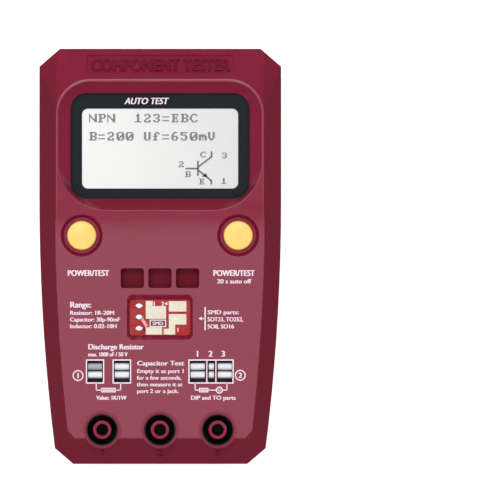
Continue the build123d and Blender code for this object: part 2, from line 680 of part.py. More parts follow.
def microcontroller():
    """The processor in a long flat package, with its legs on the board."""
    made = [on_board(*CHIP, CHIP_Z[1], CHIP_Z[0])]
    for i in range(LEGS_PER_SIDE):
        x = (i - (LEGS_PER_SIDE - 1) / 2) * PITCH
        for y, way in zip(CHIP[1], (-1, 1)):
            made.append(on_board_at(x, y + way * (CHIP_LEG[1] / 2 + CHIP_LEG_GAP), CHIP_LEG))
    return group(made)


def crystal():
    length, width, height = CRYSTAL_SIZE
    return Pos(*CRYSTAL_AT, BOARD_Z[1]) * extrude(SlotOverall(length, width), height)


def electrolytic_capacitors():
    """Three capacitors that lie under the board."""
    return group(disc(x, y, CAPACITOR_R, (BOARD_Z[0] - CAPACITOR_H, BOARD_Z[0])) for x, y in CAPACITORS)


def voltage_regulator():
    return on_board(*REGULATOR) + on_board(*REGULATOR_TAB)


def small_chip_parts():
    made = []
    for row, y in enumerate(CHIP_PART_ROWS):
        for i in range(CHIP_PARTS_PER_ROW):
            x = (i - (CHIP_PARTS_PER_ROW - 1) / 2) * CHIP_PART_PITCH + 0.4 * row
            made.append(on_board_at(x, y, CHIP_PART))
    return group(made)


def discharge_resistor():
    """A wire-ended resistor under the board, between the two contacts of the left port."""
    z = BOARD_Z[0] - RESISTOR_DROP
    lying = Pos(RESISTOR_X, PORT_Y, z) * Rot(0, 90, 0)
    body = lying * Cylinder(RESISTOR_R, RESISTOR_LENGTH) + lying * Cylinder(WIRE_R, WIRE_LENGTH)
    ends = (RESISTOR_X - WIRE_LENGTH / 2, RESISTOR_X + WIRE_LENGTH / 2)
    return body + [disc(x, PORT_Y, WIRE_R, (z, BOARD_Z[0])) for x in ends]


# --- contact ports ------------------------------------------------------------------------------
def contact_leaf(sides, way):
    """One sprung leaf: a foot, an upright, a rounded top and a lip that hangs beside the slot."""
    near = LEAF_GAP
    far = LEAF_GAP + LEAF_DEPTH
    outer = Rectangle(LEAF_DEPTH, LEAF_TOP_Z - LEAF_FOOT_Z)
    outer = fillet(outer.vertices().group_by(Axis.Y)[-1], LEAF_ROUND)
    inner = Rectangle(LEAF_DEPTH - 2 * LEAF_T, LEAF_TOP_Z - LEAF_FOOT_Z - LEAF_T)
    inner = fillet(inner.vertices().group_by(Axis.Y)[-1], LEAF_ROUND - LEAF_T)
    profile = outer - Pos(0, -LEAF_T / 2) * inner
    middle_z = (LEAF_TOP_Z + LEAF_FOOT_Z) / 2
    profile = Pos((near + far) / 2, middle_z) * profile
    under = Rectangle(2 * LEAF_T, LEAF_LIP_Z - LEAF_FOOT_Z)
    profile -= Pos(near + LEAF_T, (LEAF_FOOT_Z + LEAF_LIP_Z) / 2) * under
    leaf = extrude(Plane.YZ * profile, sides[1] - sides[0])
    leaf = Pos(sides[0], 0, 0) * leaf
    if way < 0:
        leaf = mirror(leaf, Plane.XZ)
    return Pos(0, PORT_Y, 0) * leaf


def contact_block(x):
    """The insulating block under a port, with a slot that takes the tip of a lead."""
    body = block(x, (PORT_Y - BLOCK_HALF_Y, PORT_Y + BLOCK_HALF_Y), (BOARD_Z[1], BLOCK_TOP_Z))
    slot_x = (x[0] + SLOT_WALL, x[1] - SLOT_WALL)
    slot_y = (PORT_Y - SLOT_HALF_Y, PORT_Y + SLOT_HALF_Y)
    return body - block(slot_x, slot_y, (BOARD_Z[1] + SLOT_FLOOR, BLOCK_TOP_Z))


# --- jacks --------------------------------------------------------------------------------------
def jack_cup(x):
    """The dark outer cup of a shrouded jack."""
    cup = disc(x, JACK_Y, CUP_R, CUP_Z) - disc(x, JACK_Y, CUP_BORE_R, (CUP_Z[0] + CUP_FLOOR, CUP_Z[1]))
    slot_y = (JACK_Y, JACK_Y + CUP_R)
    return cup - block((x - TAB_W / 2, x + TAB_W / 2), slot_y, (CUP_Z[0], CUP_Z[0] + TAB_T))


def jack_tube(x):
    """The inner tube that the plug's sheath slides over."""
    foot_z = CUP_Z[0] + CUP_FLOOR
    body = disc(x, JACK_Y, TUBE_R, (foot_z, TUBE_TOP_Z))
    body = fillet(body.edges().group_by(Axis.Z)[-1], TUBE_ROUND)
    body -= disc(x, JACK_Y, BORE_R, (foot_z, TUBE_TOP_Z))
    return body - disc(x, JACK_Y, SOCKET_R, (foot_z, SOCKET_TOP_Z))


def jack_socket(x):
    """The metal sleeve that takes a 4 mm plug."""
    return tube(x, JACK_Y, SOCKET_R, BORE_R, (CUP_Z[0] + CUP_FLOOR, SOCKET_TOP_Z))


def jack_tabs():
    """The strips that join the jacks to the board."""
    made = []
    for x in JACKS.values():
        end_y = BOARD[-1][1] + TAB_REACH
        flat = block((x - TAB_W / 2, x + TAB_W / 2), (JACK_Y, end_y), (CUP_Z[0], CUP_Z[0] + TAB_T))
        rise = block((x - TAB_W / 2, x + TAB_W / 2), (end_y - TAB_T, end_y), (CUP_Z[0], BOARD_Z[0]))
        made.append(flat + rise)
    return group(made)


# --- battery ------------------------------------------------------------------------------------
def battery():
    size_x, _, size_z = BATTERY_SIZE
    body = block((-size_x / 2, size_x / 2), BATTERY_Y, (BATTERY_Z, BATTERY_Z + size_z))
    return fillet(body.edges().filter_by(Axis.Y), BATTERY_ROUND)


def battery_terminals():
    """The two snap studs on the battery's end."""
    z = BATTERY_Z + BATTERY_SIZE[2] / 2
    made = []
    for x, r in zip((-STUD_X, STUD_X), STUD_R):
        stud = Pos(x, BATTERY_Y[1] + STUD_H / 2, z) * Rot(90, 0, 0) * Cylinder(r, STUD_H)
        made.append(stud)
    return group(made)


def battery_contacts():
    """Two flat sprung strips that press on the battery's studs and run up to the board."""
    half = CONTACT_HALF_X
    z = (CONTACT_LOW_Z, BOARD_Z[0])
    return group(block((x - half, x + half), CONTACT_Y, z) for x in (-STUD_X, STUD_X))


def battery_pad():
    return block(*FOAM, (BACK_Z + COVER_PLATE_T, BATTERY_Z))


# --- all nodes ----------------------------------------------------------------------------------
def all_nodes():
    nodes = {
        "front_shell": front_shell(),
        "rear_shell": rear_shell(),
        "battery_cover": battery_cover(),
        "battery_cover_screw": battery_cover_screw(),
        "cover_screw_insert": cover_screw_insert(),
        "case_screws": case_screws(),
        "threaded_inserts": threaded_inserts(),
        "rubber_feet": rubber_feet(),
        "display_lens": display_lens(),
        "lens_border": lens_border(),
        "lcd_glass": lcd_glass(),
        "lcd_backlight": lcd_backlight(),
        "lcd_frame": lcd_frame(),
        "lcd_board": lcd_board(),
        "lcd_pins": lcd_pins(),
        "main_board": main_board(),
        "board_screws": board_screws(),
        "smd_board": smd_board(),
        "smd_pads": smd_pads(),
        "smd_solder_joints": smd_solder_joints(),
        "smd_board_pins": smd_board_pins(),
        "microcontroller": microcontroller(),
        "crystal": crystal(),
        "electrolytic_capacitors": electrolytic_capacitors(),
        "voltage_regulator": voltage_regulator(),
        "small_chip_parts": small_chip_parts(),
        "discharge_resistor": discharge_resistor(),
        "jack_tabs": jack_tabs(),
        "battery": battery(),
        "battery_terminals": battery_terminals(),
        "battery_contacts": battery_contacts(),
        "battery_pad": battery_pad(),
    }
    for side, x in (("left", -BUTTON_X), ("right", BUTTON_X)):
        nodes[f"{side}_button_cap"] = button_cap(x)
        nodes[f"{side}_switch_body"] = switch_body(x)
        nodes[f"{side}_switch_stem"] = switch_stem(x)
    for side, ends in BLOCKS.items():
        nodes[f"{side}_contact_block"] = contact_block(ends)
    for name, x in JACKS.items():
        nodes[f"{name}_jack_cup"] = jack_cup(x)
        nodes[f"{name}_jack_tube"] = jack_tube(x)
        nodes[f"{name}_jack_socket"] = jack_socket(x)
    for name, (sides, _) in CONTACTS.items():
        nodes[f"{name}_upper_leaf"] = contact_leaf(sides, 1)
        nodes[f"{name}_lower_leaf"] = contact_leaf(sides, -1)
    return nodes


os.makedirs("parts", exist_ok=True)
for name, shape in all_nodes().items():
    export_step(shape, f"parts/{name}.step")
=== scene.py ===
"""Looks of the component tester: plastics, printed face, dot display, steel contacts and a studio."""

import json
from math import atan2, pi, radians

import bmesh
import bpy
from mathutils import Matrix, Vector


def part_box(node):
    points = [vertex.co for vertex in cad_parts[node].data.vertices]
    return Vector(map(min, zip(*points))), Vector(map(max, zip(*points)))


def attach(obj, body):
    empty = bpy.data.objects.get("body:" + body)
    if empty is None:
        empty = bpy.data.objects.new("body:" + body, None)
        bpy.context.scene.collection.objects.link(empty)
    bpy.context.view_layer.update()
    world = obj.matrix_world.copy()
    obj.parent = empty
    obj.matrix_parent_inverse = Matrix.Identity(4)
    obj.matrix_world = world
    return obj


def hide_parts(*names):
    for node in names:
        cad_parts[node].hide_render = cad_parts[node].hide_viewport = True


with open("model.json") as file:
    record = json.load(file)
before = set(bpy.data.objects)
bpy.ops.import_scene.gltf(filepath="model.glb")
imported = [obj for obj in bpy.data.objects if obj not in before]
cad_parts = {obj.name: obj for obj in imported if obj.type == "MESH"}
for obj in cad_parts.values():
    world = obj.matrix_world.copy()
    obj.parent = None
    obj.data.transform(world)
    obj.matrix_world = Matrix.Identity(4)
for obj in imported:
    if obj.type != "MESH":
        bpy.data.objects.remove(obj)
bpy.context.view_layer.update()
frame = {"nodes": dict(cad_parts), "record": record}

MM = 0.001

# --- places on the tester, in millimetres ---------------------------------------------------------
FACE_Z = 31.0
CREST_Z = 31.6
SHOULDER_Z = 22.5
HALF_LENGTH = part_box("front_shell")[1].y / MM
CREST_END_Y = 58.4
FOOT_END_Y = -59.4
BAND_ANGLE = atan2(SHOULDER_Z - CREST_Z, HALF_LENGTH - CREST_END_Y)
LABEL_DEPTH = 0.35
LENS_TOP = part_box("display_lens")[1].z / MM
GLASS_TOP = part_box("lcd_glass")[1].z / MM
SMD_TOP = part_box("smd_board")[1].z / MM
BACK_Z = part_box("rear_shell")[0].z / MM
JACK_X = 19.05
MERGE_DISTANCE = 1e-6  # metres; corners closer than this become one in a smooth copy
SHARP_ANGLE = radians(24)  # an edge that turns by more stays sharp in a smooth copy

# where the front's plastic takes painted shade and where it changes its shine; each pair is where a change
# starts and ends
POCKETS_Z = (27.4, 30.6)
POCKETS_HEAD_Y = (0.0, 2.0)
POCKETS_FOOT_Y = (-56.0, -50.0)
POCKETS_HALF_WIDTH = (14.0, 16.0)
FACE_HALF_WIDTHS = (29.9, 34.0)  # at the foot, and from WAIST_Y on
WAIST_Y = 18.6
BEVEL_BLEND = 0.5
BEVEL_FACING = (0.80, 0.97)
FOOT_BLEND = 1.5
DISH_WALL_Z = (29.5, CREST_Z - 0.1)
DISH_WALL_HEAD_Y = (19.0, 25.0)
DISH_WALL_FOOT_Y = (14.6, 15.4)
FLAT_LOW_Z = (FACE_Z - 0.12, FACE_Z - 0.02)
FLAT_HIGH_Z = (FACE_Z + 0.02, FACE_Z + 0.36)
FLAT_FACING = (0.9, 0.985)
CREST_BAND_Z = (CREST_Z - 0.5, CREST_Z - 0.1)
CREST_BAND_Y = (44.0, 54.0)

# --- prints, in millimetres -----------------------------------------------------------------------
INK = 0.03  # thickness of a print
CAPITAL = 0.69  # height of a capital letter in a text of size 1
COPY_STEP = 0.004  # each copy of a bold letter lies this much above the one before
HEADING, HEADING_BOLD = 1.9, 0.055  # height of the letters, and how far apart their copies are
SMALL, SMALL_BOLD = 1.35, 0.05
WIRE = 0.32  # width of the drawn wires
OUTLINE = 0.36  # width of the outlines of drawn parts
WIRE_LOW_Y = -44.1
DOT = (0.378, 0.41)  # the display's dots, and those of the symbol's small characters
SMALL_DOT = (0.28, 0.28)

# --- colours, linear ------------------------------------------------------------------------------
RED = (0.190, 0.007, 0.029)
RED_DEEP = (0.165, 0.005, 0.019)
# painted shade for the side and foot bevels and the dish's lower wall
RED_PAINTED_SHADE = (0.150, 0.005, 0.018)
# painted shade for the pockets' floors, and the darker random tone of the raised label
RED_POCKET_SHADE_AND_DEEP_TONE = (0.105, 0.003, 0.010)
RED_LABEL = (0.150, 0.005, 0.017)
RED_REAR = (0.170, 0.006, 0.022)
YELLOW = (0.980, 0.530, 0.125)
YELLOW_DEEP = (0.960, 0.460, 0.085)
BLACK = (0.012, 0.012, 0.014)
CHARCOAL = (0.030, 0.031, 0.034)
PRINT_BLACK = (0.010, 0.013, 0.017)
PRINT_WHITE = (0.74, 0.62, 0.67)
LCD_PALE = (0.79, 0.785, 0.755)
# the greyer end of the display's painted reflection, and of its random mottle
LCD_SHADE = (0.62, 0.617, 0.597)
LCD_INK = (0.215, 0.215, 0.21)
STEEL = (0.62, 0.63, 0.65)
# a darker steel, given to one of the leaves
STEEL_DARKER = (0.30, 0.32, 0.34)
NICKEL = (0.66, 0.63, 0.58)
ZINC = (0.50, 0.50, 0.48)
BRASS = (0.62, 0.43, 0.14)
SOLDER = (0.74, 0.72, 0.68)
GOLD_TIN = (0.64, 0.59, 0.465)
MASK_RED = (0.34, 0.010, 0.009)
MASK_GREEN = (0.012, 0.11, 0.05)
RUBBER = (0.018, 0.018, 0.019)


# --- materials ------------------------------------------------------------------------------------
class Surface:
    """A material with a Principled shader whose patterns read Object coordinates."""

    def __init__(self, name, metallic=0.0, specular=0.5):
        self.material = bpy.data.materials.new(name)
        self.material.use_nodes = True
        self.tree = self.material.node_tree
        self.shader = self.tree.nodes["Principled BSDF"]
        self.shader.inputs["Metallic"].default_value = metallic
        self.shader.inputs["Specular IOR Level"].default_value = specular
        self.place = self.node("ShaderNodeTexCoord").outputs["Object"]

    def node(self, kind, **values):
        made = self.tree.nodes.new(kind)
        for key, value in values.items():
            setattr(made, key, value)
        return made

    def link(self, output, node, socket):
        self.tree.links.new(output, node.inputs[socket])

    def noise(self, size, detail=3.0, roughness=0.55, stretch=None):
        """A noise whose features are about size millimetres across."""
        made = self.node("ShaderNodeTexNoise")
        made.inputs["Scale"].default_value = 1 / (size * MM)
        made.inputs["Detail"].default_value = detail
        made.inputs["Roughness"].default_value = roughness
        place = self.place
        if stretch:
            mapping = self.node("ShaderNodeMapping")
            mapping.inputs["Scale"].default_value = stretch
            self.link(place, mapping, "Vector")
            place = mapping.outputs["Vector"]
        self.link(place, made, "Vector")
        return made.outputs["Fac"]

    def ranged(self, value, low, high, start=0.3, end=0.7):
        """The value, moved from start..end to low..high."""
        made = self.node("ShaderNodeMapRange")
        made.inputs["From Min"].default_value = start
        made.inputs["From Max"].default_value = end
        made.inputs["To Min"].default_value = low
        made.inputs["To Max"].default_value = high
        self.link(value, made, "Value")
        return made.outputs["Result"]

    def rising(self, value, limits, unit=MM):
        """0 below the first limit and 1 above the second."""
        return self.ranged(value, 0.0, 1.0, limits[0] * unit, limits[1] * unit)

    def falling(self, value, limits, unit=MM):
        """1 below the first limit and 0 above the second."""
        return self.ranged(value, 1.0, 0.0, limits[0] * unit, limits[1] * unit)

    def axes(self, vector=None):
        """The parts of a vector, which is the place in Object coordinates unless given."""
        made = self.node("ShaderNodeSeparateXYZ")
        self.link(vector or self.place, made, "Vector")
        return [made.outputs[axis] for axis in "XYZ"]

    def maths(self, operation, *values):
        made = self.node("ShaderNodeMath", operation=operation)
        for socket, value in enumerate(values):
            self.link(value, made, socket)
        return made.outputs["Value"]

    def product(self, first, *others):
        for other in others:
            first = self.maths("MULTIPLY", first, other)
        return first

    def mixed(self, factor, a, b, mode="MIX"):
        """Two colours mixed; each is a socket or a plain colour."""
        made = self.node("ShaderNodeMix", data_type="RGBA", blend_type=mode)
        for socket, value in ((0, factor), (6, a), (7, b)):
            if isinstance(value, bpy.types.NodeSocket):
                self.link(value, made, socket)
            elif socket == 0:
                made.inputs[0].default_value = value
            else:
                made.inputs[socket].default_value = (*value, 1)
        return made.outputs[2]

    def bump(self, *layers):
        """Bumps on top of each other, each a height, its strength and its depth in millimetres."""
        normal = None
        for height, strength, depth in layers:
            made = self.node("ShaderNodeBump")
            made.inputs["Strength"].default_value = strength
            made.inputs["Distance"].default_value = depth * MM
            self.link(height, made, "Height")
            if normal:
                self.link(normal, made, "Normal")
            normal = made.outputs["Normal"]
        self.link(normal, self.shader, "Normal")

    def colour(self, value):
        self.link(value, self.shader, "Base Color")

    def roughness(self, value):
        self.link(value, self.shader, "Roughness")

    def set(self, **values):
        for key, value in values.items():
            self.shader.inputs[key.replace("_", " ")].default_value = value
        return self


def moulded(name, base, deep, rough, grain, depth, specular=0.5):
    """Moulded plastic: cloudy colour, a spark-eroded grain, and a roughness that varies with handling."""
    made = Surface(name, specular=specular)
    clouds = made.noise(14.0, 4.0)
    specks = made.noise(grain * 1.6, 2.0, 0.6)
    tone = made.mixed(made.ranged(clouds, 0.0, 0.55), base, deep)
    made.colour(made.mixed(made.ranged(specks, 0.0, 0.22), tone, deep))
    scuffs = made.noise(6.0, 6.0, 0.7, (1.0, 0.22, 1.0))
    made.roughness(made.ranged(scuffs, *rough))
    made.bump((made.noise(grain, 2.0, 0.5), 0.55, depth), (made.noise(9.0, 2.0), 0.12, 0.10))
    return made.material


def front_plastic():
    """The front's red plastic: its shine changes with the place and the way a face turns, and painted shade
    deepens its colour in the pockets, on the bevels at the sides and foot and on the dish's lower wall.
    """
    made = Surface("front_red")
    x, y, z = made.axes()
    upward = made.axes(made.node("ShaderNodeNewGeometry").outputs["Normal"])[2]
    aside = made.maths("ABSOLUTE", x)

    # painted shade: the colour is deeper on the pockets' floors, the bevels at the sides and foot, and the
    # dish's lower wall, where shade would fall
    tone = made.mixed(made.ranged(made.noise(14.0, 4.0), 0.0, 0.4), RED, RED_DEEP)
    tone = made.mixed(made.ranged(made.noise(0.35, 2.0, 0.6), 0.0, 0.18), tone, RED_DEEP)
    # painted shade on the pockets' floors
    pockets = made.product(
        made.falling(z, POCKETS_Z),
        made.falling(y, POCKETS_HEAD_Y),
        made.rising(y, POCKETS_FOOT_Y),
        made.falling(aside, POCKETS_HALF_WIDTH),
    )
    tone = made.mixed(pockets, tone, RED_POCKET_SHADE_AND_DEEP_TONE)
    # painted shade on the side bevels, deeper where a face turns away from straight up
    at_foot, at_head = FACE_HALF_WIDTHS
    edge = made.ranged(y, at_foot * MM, at_head * MM, FOOT_END_Y * MM, WAIST_Y * MM)
    beyond = made.maths("SUBTRACT", aside, edge)
    sides = made.product(made.rising(beyond, (0.0, BEVEL_BLEND)), made.falling(upward, BEVEL_FACING, 1))
    tone = made.mixed(sides, tone, RED_PAINTED_SHADE)
    # painted shade on the foot bevel
    tone = made.mixed(made.falling(y, (FOOT_END_Y - FOOT_BLEND, FOOT_END_Y)), tone, RED_PAINTED_SHADE)
    # painted shade on the dish's lower wall
    wall = made.product(
        made.falling(z, DISH_WALL_Z), made.falling(y, DISH_WALL_HEAD_Y), made.rising(y, DISH_WALL_FOOT_Y)
    )
    made.colour(made.mixed(wall, tone, RED_PAINTED_SHADE))

    # the flat face is satin, the rest is glossier
    satin = made.product(
        made.rising(z, FLAT_LOW_Z), made.falling(z, FLAT_HIGH_Z), made.rising(upward, FLAT_FACING, 1)
    )
    scuffs = made.noise(5.0, 3.0, 0.5)
    rough = made.node("ShaderNodeMix")
    made.link(satin, rough, 0)
    made.link(made.ranged(scuffs, 0.29, 0.34), rough, 2)
    made.link(made.ranged(scuffs, 0.47, 0.56), rough, 3)
    made.roughness(rough.outputs[0])

    # the crest at the display's end shines the most, and the pockets the least
    crest = made.product(made.rising(z, CREST_BAND_Z), made.rising(y, CREST_BAND_Y))
    on_face = made.ranged(satin, 0.33, 0.5, 0.0, 1.0)
    shine = made.maths("MAXIMUM", on_face, made.ranged(crest, 0.0, 0.7, 0.0, 1.0))
    shine = made.product(shine, made.ranged(pockets, 1.0, 0.25, 0.0, 1.0))
    made.link(shine, made.shader, "Specular IOR Level")
    made.bump((made.noise(0.22, 2.0, 0.5), 0.5, 0.008), (made.noise(12.0, 1.0), 0.1, 0.05))
    return made.material


def metal(name, base, rough, brushed=(1.0, 1.0, 1.0), shine=1.0):
    """Bare or plated metal with fine drawn lines and a few duller patches."""
    made = Surface(name, metallic=shine)
    lines = made.noise(0.12, 3.0, 0.6, brushed)
    patches = made.noise(1.8, 4.0, 0.65)
    made.colour(made.mixed(made.ranged(patches, 0.0, 0.6), base, darker(base, 0.72)))
    made.roughness(made.ranged(lines, *rough))
    made.bump((lines, 0.35, 0.012), (patches, 0.2, 0.03))
    return made.material


def darker(base, share):
    return tuple(share * c for c in base)


def ink(name, base, rough=0.5, specular=0.4):
    """Screen-printed ink, a little uneven."""
    made = Surface(name, specular=specular)
    patches = made.noise(0.9, 4.0, 0.6)
    made.colour(made.mixed(made.ranged(patches, 0.0, 0.35), base, darker(base, 0.8)))
    made.roughness(made.ranged(patches, rough - 0.08, rough + 0.1))
    made.bump((made.noise(0.15, 2.0), 0.3, 0.01))
    return made.material


def solder_mask(name, base):
    """Lacquer over a circuit board's weave."""
    made = Surface(name)
    weave = made.node("ShaderNodeTexWave", bands_direction="X")
    weave.inputs["Scale"].default_value = 900.0
    weave.inputs["Distortion"].default_value = 1.5
    made.link(made.place, weave, "Vector")
    clouds = made.noise(3.0, 4.0)
    made.colour(made.mixed(made.ranged(clouds, 0.0, 0.5), base, darker(base, 0.6)))
    made.roughness(made.ranged(clouds, 0.22, 0.38))
    made.bump((weave.outputs["Fac"], 0.12, 0.02), (clouds, 0.15, 0.04))
    return made.material


def lens_clear():
    """A clear acrylic lens with faint scuffs: what is under it stays plain to see."""
    made = Surface("clear_acrylic", specular=0.4)
    made.set(Base_Color=(0.014, 0.015, 0.024, 1), Alpha=0.09)
    scuffs = made.noise(2.0, 6.0, 0.75, (1.0, 0.15, 1.0))
    made.roughness(made.ranged(scuffs, 0.03, 0.12))
    made.bump((made.noise(16.0, 1.0), 0.05, 0.05))
    return made.material


def lcd_face():
    """The pale face of the display: its glow is painted light that stands in for its backlight and the lamps'
    light on it, and it is painted greyer from the left end towards the right, a painted reflection.
    """
    made = Surface("lcd_face", specular=0.3)
    # painted reflection: paler at the left end, greyer towards the right
    away = made.rising(made.axes()[0], (-30.0, 34.0))
    mottle = made.noise(5.0, 3.0)
    tone = made.mixed(away, LCD_PALE, LCD_SHADE)
    tone = made.mixed(made.ranged(mottle, 0.0, 0.1), tone, LCD_SHADE)
    made.colour(tone)
    # painted light: the face glows with its own colour
    made.link(tone, made.shader, "Emission Color")
    made.set(Emission_Strength=0.32)
    made.roughness(made.ranged(mottle, 0.5, 0.62))
    made.bump((made.noise(0.4, 1.0), 0.08, 0.01))
    return made.material


def domed_yellow():
    """Soft glossy yellow of the button caps."""
    made = Surface("button_yellow", specular=0.5)
    clouds = made.noise(4.0, 3.0)
    made.colour(made.mixed(made.ranged(clouds, 0.0, 0.5), YELLOW, YELLOW_DEEP))
    made.roughness(made.ranged(made.noise(1.2, 5.0, 0.7), 0.34, 0.5))
    made.set(Subsurface_Weight=0.15, Subsurface_Radius=(0.002, 0.0012, 0.0004), Subsurface_Scale=1.0)
    made.bump((made.noise(0.3, 2.0), 0.3, 0.008))
    return made.material


def battery_jacket():
    """A printed metal jacket: dark body with a plain coloured band at the terminal end."""
    made = Surface("battery_jacket", metallic=0.3)
    band = made.rising(made.axes()[1], (13.8, 14.0))
    tone = made.mixed(band, (0.02, 0.022, 0.03), (0.62, 0.30, 0.08))
    patches = made.noise(5.0, 4.0)
    made.colour(made.mixed(made.ranged(patches, 0.0, 0.25), tone, (0.01, 0.01, 0.012)))
    made.roughness(made.ranged(patches, 0.26, 0.4))
    made.bump((patches, 0.1, 0.05))
    return made.material


MATERIALS = {
    "front_red": front_plastic(),
    "rear_red": moulded("rear_red", RED_REAR, RED_DEEP, (0.46, 0.62), 0.35, 0.022),
    "label_red": moulded("label_red", RED_LABEL, RED_POCKET_SHADE_AND_DEEP_TONE, (0.3, 0.4), 0.22, 0.006, 0.25),
    "yellow": domed_yellow(),
    "jack_black": moulded("jack_black", BLACK, (0.006, 0.006, 0.007), (0.24, 0.36), 0.2, 0.006, 0.3),
    "block_black": moulded("block_black", CHARCOAL, BLACK, (0.45, 0.6), 0.2, 0.01),
    "foam_black": moulded("foam_black", CHARCOAL, BLACK, (0.85, 0.95), 0.5, 0.12, 0.2),
    "rubber": moulded("rubber", RUBBER, BLACK, (0.70, 0.85), 0.3, 0.02, 0.3),
    "white_guide": moulded("white_guide", (0.8, 0.8, 0.78), (0.7, 0.7, 0.68), (0.4, 0.5), 0.3, 0.01),
    "steel": metal("leaf_steel", STEEL, (0.42, 0.58), (1.0, 0.12, 1.0), shine=0.35),
    "steel_dull": metal("leaf_steel_dull", STEEL_DARKER, (0.42, 0.58), (1.0, 0.12, 1.0), shine=0.35),
    "nickel": metal("jack_nickel", NICKEL, (0.12, 0.26)),
    "zinc": metal("screw_zinc", ZINC, (0.26, 0.42)),
    "brass": metal("insert_brass", BRASS, (0.25, 0.4)),
    "solder": metal("solder_bright", SOLDER, (0.16, 0.36)),
    "tinned": metal("pad_tin", GOLD_TIN, (0.30, 0.5)),
    "mask_red": solder_mask("mask_red", MASK_RED),
    "mask_green": solder_mask("mask_green", MASK_GREEN),
    "lens": lens_clear(),
    "border": ink("border_black", PRINT_BLACK, 0.45, 0.1),
    "print": ink("print_white", PRINT_WHITE),
    "dot": ink("dot_grey", LCD_INK, 0.6),
    "plum": ink("plum_ink", (0.09, 0.012, 0.035), 0.4),
    "pink_trace": ink("pink_trace", (0.70, 0.28, 0.30), 0.35),
    "lcd": lcd_face(),
    "battery": battery_jacket(),
    "sleeve": ink("capacitor_sleeve", (0.015, 0.02, 0.06), 0.3),
    "ceramic": ink("chip_ceramic", (0.24, 0.17, 0.11), 0.4),
    "resistor": ink("resistor_blue", (0.07, 0.15, 0.24), 0.35),
}

# which finish each CAD node takes; a name ending in * stands for every node with that ending
FINISHES = {
    "front_shell": "front_red", "rear_shell": "rear_red", "battery_cover": "rear_red",
    "*_button_cap": "yellow", "*_switch_body": "block_black", "*_switch_stem": "block_black",
    "*_jack_cup": "jack_black", "*_jack_tube": "front_red", "*_jack_socket": "nickel",
    # one leaf is drawn in the darker steel
    "left_port_1_upper_leaf": "steel_dull", "*_leaf": "steel", "*_contact_block": "block_black",
    "jack_tabs": "nickel",
    "battery": "battery", "battery_terminals": "nickel", "battery_contacts": "nickel",
    "battery_pad": "foam_black", "battery_cover_screw": "zinc", "case_screws": "zinc",
    "board_screws": "zinc", "threaded_inserts": "brass", "cover_screw_insert": "brass",
    "rubber_feet": "rubber", "display_lens": "lens", "lens_border": "border", "lcd_glass": "lcd",
    "lcd_backlight": "white_guide", "lcd_frame": "zinc", "lcd_board": "mask_green",
    "lcd_pins": "nickel", "main_board": "mask_green", "smd_board": "mask_red",
    "smd_pads": "tinned", "smd_solder_joints": "solder", "smd_board_pins": "nickel",
    "microcontroller": "block_black", "crystal": "nickel", "electrolytic_capacitors": "sleeve",
    "voltage_regulator": "block_black", "small_chip_parts": "ceramic",
    "discharge_resistor": "resistor",
}

# nodes that are drawn from a merged copy, whose curved faces are shaded smoothly
SMOOTHED = (
    "front_shell", "rear_shell", "battery_cover", "display_lens", "rubber_feet", "battery",
    "smd_solder_joints", "*_button_cap", "*_jack_cup", "*_jack_tube", "*_jack_socket", "*_leaf",
    "battery_terminals",
)


def matching(name, patterns):
    """The first pattern that stands for a node's name."""
    return next((p for p in patterns if p == name or (p[0] == "*" and name.endswith(p[1:]))), None)


def finish_nodes():
    """Gives every CAD node its finish, and draws the curved ones from smoothly shaded copies."""
    for name, node in list(frame["nodes"].items()):
        finish = MATERIALS[FINISHES[matching(name, FINISHES)]]
        node.data.materials.clear()
        node.data.materials.append(finish)
        if matching(name, SMOOTHED):
            smooth_copy(name, node, finish)


def smooth_copy(name, node, finish):
    """A copy that replaces the node, with its corners merged and its curved faces shaded smoothly."""
    form = bmesh.new()
    form.from_mesh(node.data)
    bmesh.ops.remove_doubles(form, verts=form.verts, dist=MERGE_DISTANCE)
    bmesh.ops.dissolve_degenerate(form, edges=form.edges, dist=1e-7)
    mesh = bpy.data.meshes.new(name + "_smooth")
    form.to_mesh(mesh)
    form.free()
    if "custom_normal" in mesh.attributes:
        mesh.attributes.remove(mesh.attributes["custom_normal"])
    mesh.shade_smooth()
    mesh.set_sharp_from_angle(angle=SHARP_ANGLE)
    mesh.materials.append(finish)
    piece = bpy.data.objects.new(name + "_smooth", mesh)
    bpy.context.scene.collection.objects.link(piece)
    weighted = piece.modifiers.new("weighted", "WEIGHTED_NORMAL")
    weighted.keep_sharp = True
    weighted.weight = 100
    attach(piece, body_of(name))
    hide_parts(name)


def body_of(name):
    return next(body for body, nodes in frame["record"]["behaviour"]["bodies"].items() if name in nodes)


# --- making pieces --------------------------------------------------------------------------------
def place_piece(name, form, finish, body="case"):
    """Turns a bmesh in millimetres into a piece that rides on a body."""
    mesh = bpy.data.meshes.new(name)
    bmesh.ops.scale(form, vec=(MM, MM, MM), verts=form.verts)
    form.to_mesh(mesh)
    form.free()
    mesh.materials.append(MATERIALS[finish])
    piece = bpy.data.objects.new(name, mesh)
    bpy.context.scene.collection.objects.link(piece)
    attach(piece, body)
    return piece


def add_box(form, x, y, z):
    """A box between two X, two Y and two Z values."""
    middle = Vector([(a + b) / 2 for a, b in (x, y, z)])
    size = [abs(b - a) for a, b in (x, y, z)]
    matrix = Matrix.Translation(middle) @ Matrix.Diagonal((*size, 1))
    bmesh.ops.create_cube(form, size=1.0, matrix=matrix)


def add_stroke(form, start, end, width, z, thick=INK):
    """A straight printed line from start to end."""
    start, end = Vector(start), Vector(end)
    run = end - start
    turn = Matrix.Rotation(atan2(run.y, run.x), 4, "Z")
    middle = (start + end) / 2
    half = (run.length + width * 0.5) / 2
    place = Matrix.Translation((middle.x, middle.y, z + thick / 2))
    size = Matrix.Diagonal((2 * half, width, thick, 1))
    bmesh.ops.create_cube(form, size=1.0, matrix=place @ turn @ size)


